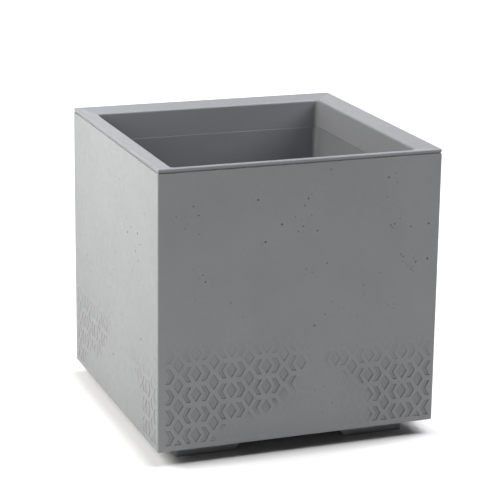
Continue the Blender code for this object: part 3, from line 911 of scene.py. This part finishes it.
class Nodes:
    """Short calls for building a material's node tree."""

    def __init__(self, name):
        self.material = bpy.data.materials.new(name)
        self.material.use_nodes = True
        self.tree = self.material.node_tree
        self.shader = self.tree.nodes["Principled BSDF"]
        self.place = self.tree.nodes.new("ShaderNodeTexCoord").outputs["Object"]

    def link(self, output, socket):
        self.tree.links.new(output, socket)

    def noise(self, scale, detail, roughness=0.5):
        node = self.tree.nodes.new("ShaderNodeTexNoise")
        node.inputs["Scale"].default_value = scale
        node.inputs["Detail"].default_value = detail
        node.inputs["Roughness"].default_value = roughness
        self.link(self.place, node.inputs["Vector"])
        return node.outputs["Fac"]

    def attribute(self, name):
        """A number kept on the mesh's vertices."""
        node = self.tree.nodes.new("ShaderNodeAttribute")
        node.attribute_name = name
        return node.outputs["Fac"]

    def spread(self, value, start, end, low, high):
        """Map start..end to low..high."""
        node = self.tree.nodes.new("ShaderNodeMapRange")
        self.link(value, node.inputs["Value"])
        for name, number in (("From Min", start), ("From Max", end), ("To Min", low), ("To Max", high)):
            node.inputs[name].default_value = number
        return node.outputs["Result"]

    def combine(self, operation, a, b):
        """The result of a maths operation on two values."""
        node = self.tree.nodes.new("ShaderNodeMath")
        node.operation = operation
        self.link(a, node.inputs[0])
        self.link(b, node.inputs[1])
        return node.outputs[0]

    def tint(self, colour, value):
        """A colour made lighter or darker by a value round 1."""
        node = self.tree.nodes.new("ShaderNodeMix")
        node.data_type = "RGBA"
        node.blend_type = "MULTIPLY"
        node.inputs["Factor"].default_value = 1.0
        node.inputs["A"].default_value = (*colour, 1.0)
        self.link(value, node.inputs["B"])
        return node.outputs["Result"]

    def bump(self, height, distance, under=None):
        """A normal tilted by a height, on top of another bump if one is given."""
        node = self.tree.nodes.new("ShaderNodeBump")
        node.inputs["Strength"].default_value = 1.0
        node.inputs["Distance"].default_value = distance
        self.link(height, node.inputs["Height"])
        if under is not None:
            self.link(under, node.inputs["Normal"])
        return node.outputs["Normal"]


def grained_plastic(name, colour, roughness, mottle, speck, grain, shade_and_dirt):
    """Moulded plastic with soft cloudy tone, fine specks and a fine bumpy grain, as in fair-faced concrete.

    The last argument gives how much the mesh's recess and crease shares darken the colour: painted shade, with
    some dirt in the shell's pits.
    """
    nodes = Nodes(name)
    tone = nodes.spread(nodes.noise(*CLOUDS), *NOISE_MIDDLE, 1 - mottle, 1 + mottle)
    flecks = nodes.spread(nodes.noise(*FLECKS), *FLECKS_MIDDLE, 1 - mottle, 1 + mottle)
    tone = nodes.combine("MULTIPLY", tone, flecks)
    specks = nodes.spread(nodes.noise(*SPECKS), *SPECKS_FROM, 1.0, 1 - speck)
    tone = nodes.combine("MULTIPLY", tone, specks)
    # Painted shade, partly dirt in the pits: darker where the recess and crease shares are high.
    for attribute, share in zip(("recess", "crease"), shade_and_dirt):
        if share:
            shade_and_dirt_tone = nodes.spread(nodes.attribute(attribute), 0.0, 1.0, 1.0, 1 - share)
            tone = nodes.combine("MULTIPLY", tone, shade_and_dirt_tone)
    nodes.link(nodes.tint(colour, tone), nodes.shader.inputs["Base Color"])
    least, most = roughness - ROUGHNESS_PLAY, roughness + ROUGHNESS_PLAY
    shine = nodes.spread(nodes.noise(*SHINE_PATCHES), *NOISE_MIDDLE, least, most)
    nodes.link(shine, nodes.shader.inputs["Roughness"])
    broad = nodes.bump(nodes.noise(*BROAD_GRAIN), BROAD_SHARE * grain)
    nodes.link(nodes.bump(nodes.noise(*FINE_GRAIN), grain, broad), nodes.shader.inputs["Normal"])
    return nodes.material


def brushed_steel(name):
    nodes = Nodes(name)
    nodes.shader.inputs["Metallic"].default_value = 1.0
    tone = nodes.spread(nodes.noise(*STEEL_TONE_PATCHES), *NOISE_MIDDLE, *STEEL_TONES)
    nodes.link(nodes.tint(STEEL, tone), nodes.shader.inputs["Base Color"])
    shine = nodes.spread(nodes.noise(*STEEL_SHINE_PATCHES), *NOISE_MIDDLE, *STEEL_ROUGHNESS)
    nodes.link(shine, nodes.shader.inputs["Roughness"])
    nodes.link(nodes.bump(nodes.noise(*STEEL_FINE_GRAIN), STEEL_GRAIN), nodes.shader.inputs["Normal"])
    return nodes.material


# ---------------------------------------------------------------- stage

def build_floor():
    """The studio floor. Painted light: it glows outside the walls and in a strip on the left, which thins the
    planter's shadow. It also glows far away, which brings it near the backdrop's white.
    """
    bm = bmesh.new()
    reach = FLOOR_REACH
    corners = ((-reach, -reach), (reach, -reach), (reach, reach), (-reach, reach))
    bm.faces.new(add_loop(bm, corners, 0.0))
    floor = to_object("studio_floor", bm)
    nodes = Nodes("studio_floor")
    nodes.shader.inputs["Base Color"].default_value = (FLOOR_ALBEDO, FLOOR_ALBEDO, FLOOR_ALBEDO, 1.0)
    nodes.shader.inputs["Roughness"].default_value = FLOOR_ROUGHNESS
    nodes.shader.inputs["Specular IOR Level"].default_value = FLOOR_SHINE
    size = nodes.tree.nodes.new("ShaderNodeVectorMath")
    size.operation = "ABSOLUTE"
    nodes.link(nodes.place, size.inputs[0])
    axes = nodes.tree.nodes.new("ShaderNodeSeparateXYZ")
    nodes.link(size.outputs["Vector"], axes.inputs["Vector"])
    distance = nodes.combine("MAXIMUM", axes.outputs["X"], axes.outputs["Y"])
    # Painted light that thins the planter's shadow just outside the walls.
    near = nodes.spread(distance, HALF, HALF + NEAR_PAINTED_GLOW_WIDTH, 0.0, NEAR_PAINTED_GLOW)
    far = nodes.spread(distance, FAR_GLOW_START, FAR_GLOW_FULL, 0.0, FAR_GLOW)
    sideways = nodes.tree.nodes.new("ShaderNodeSeparateXYZ")
    nodes.link(nodes.place, sideways.inputs["Vector"])
    # Painted light in a strip on the left, where the shadow from above would be wide.
    start = -HALF + LEFT_START
    outside = nodes.spread(sideways.outputs["X"], start - LEFT_RISE, start, 1.0, 0.0)
    gone = -HALF - LEFT_FADE * LEFT_STRIP
    strip = nodes.spread(sideways.outputs["X"], gone, -HALF - LEFT_STRIP, 0.0, LEFT_PAINTED_GLOW)
    left = nodes.combine("MULTIPLY", outside, strip)
    nodes.shader.inputs["Emission Color"].default_value = WHITE
    glow = nodes.combine("ADD", nodes.combine("ADD", near, far), left)
    nodes.link(glow, nodes.shader.inputs["Emission Strength"])
    floor.data.materials.append(nodes.material)


def add_light(name, kind, strength, colour, place, shines_from):
    """A light that the camera doesn't see. It shines against the direction shines_from."""
    light = bpy.data.lights.new(name, kind)
    light.energy = strength
    light.color = colour
    obj = bpy.data.objects.new(name, light)
    obj.visible_camera = False
    obj.location = place
    obj.rotation_euler = shines_from.to_track_quat("Z", "Y").to_euler()
    bpy.context.scene.collection.objects.link(obj)
    return light


def build_lights():
    world = bpy.data.worlds.new("studio")
    world.use_nodes = True
    tree = world.node_tree
    fill = tree.nodes["Background"]
    fill.inputs["Color"].default_value = WHITE
    fill.inputs["Strength"].default_value = WORLD_FILL
    shown = tree.nodes.new("ShaderNodeBackground")
    shown.inputs["Color"].default_value = WHITE
    shown.inputs["Strength"].default_value = WORLD_SHOWN
    mix = tree.nodes.new("ShaderNodeMixShader")
    path = tree.nodes.new("ShaderNodeLightPath")
    tree.links.new(path.outputs["Is Camera Ray"], mix.inputs["Fac"])
    tree.links.new(fill.outputs[0], mix.inputs[1])
    tree.links.new(shown.outputs[0], mix.inputs[2])
    tree.links.new(mix.outputs[0], tree.nodes["World Output"].inputs["Surface"])
    bpy.context.scene.world = world
    place = OVERHEAD_DISTANCE * OVERHEAD_FROM
    overhead = add_light("overhead", "SUN", OVERHEAD_STRENGTH, COOL, place, OVERHEAD_FROM)
    overhead.angle = OVERHEAD_SPREAD
    for name, place, target, side, power, colour in SOFTBOXES:
        softbox = add_light(name, "AREA", power, colour, place, Vector(place) - Vector(target))
        softbox.size = side


def build_camera():
    camera = bpy.data.cameras.new("camera")
    camera.lens = CAMERA_LENS
    camera.clip_end = CAMERA_REACH
    obj = bpy.data.objects.new("camera", camera)
    bpy.context.scene.collection.objects.link(obj)
    azimuth, tilt = math.radians(CAMERA_AZIMUTH), math.radians(CAMERA_TILT)
    ahead = Vector((math.sin(azimuth) * math.cos(tilt), math.cos(azimuth) * math.cos(tilt), -math.sin(tilt)))
    right = ahead.cross(Vector((0, 0, 1))).normalized()
    right = Matrix.Rotation(math.radians(-CAMERA_ROLL), 3, ahead) @ right
    up = right.cross(ahead)
    turn = Matrix((right, up, -ahead)).transposed().to_4x4()
    obj.matrix_world = Matrix.Translation(CAMERA_PLACE) @ turn
    bpy.context.scene.camera = obj


# ---------------------------------------------------------------- the whole scene

def main():
    plastics = {name: grained_plastic(name, *values) for name, values in PLASTICS.items()}
    screw_steel = brushed_steel("screw_steel")
    build_shell(plastics["shell_plastic"])
    build_frame(plastics["frame_plastic"])
    build_liner(plastics["liner_plastic"])
    build_plug(plastics["plug_rubber"])
    for corner in CORNERS:
        build_foot(corner, plastics["foot_plastic"])
        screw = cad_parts["foot_screw_" + corner]
        screw.data.materials.clear()
        screw.data.materials.append(screw_steel)
    build_floor()
    build_lights()
    build_camera()
    bpy.context.scene.view_settings.view_transform = "Standard"


main()
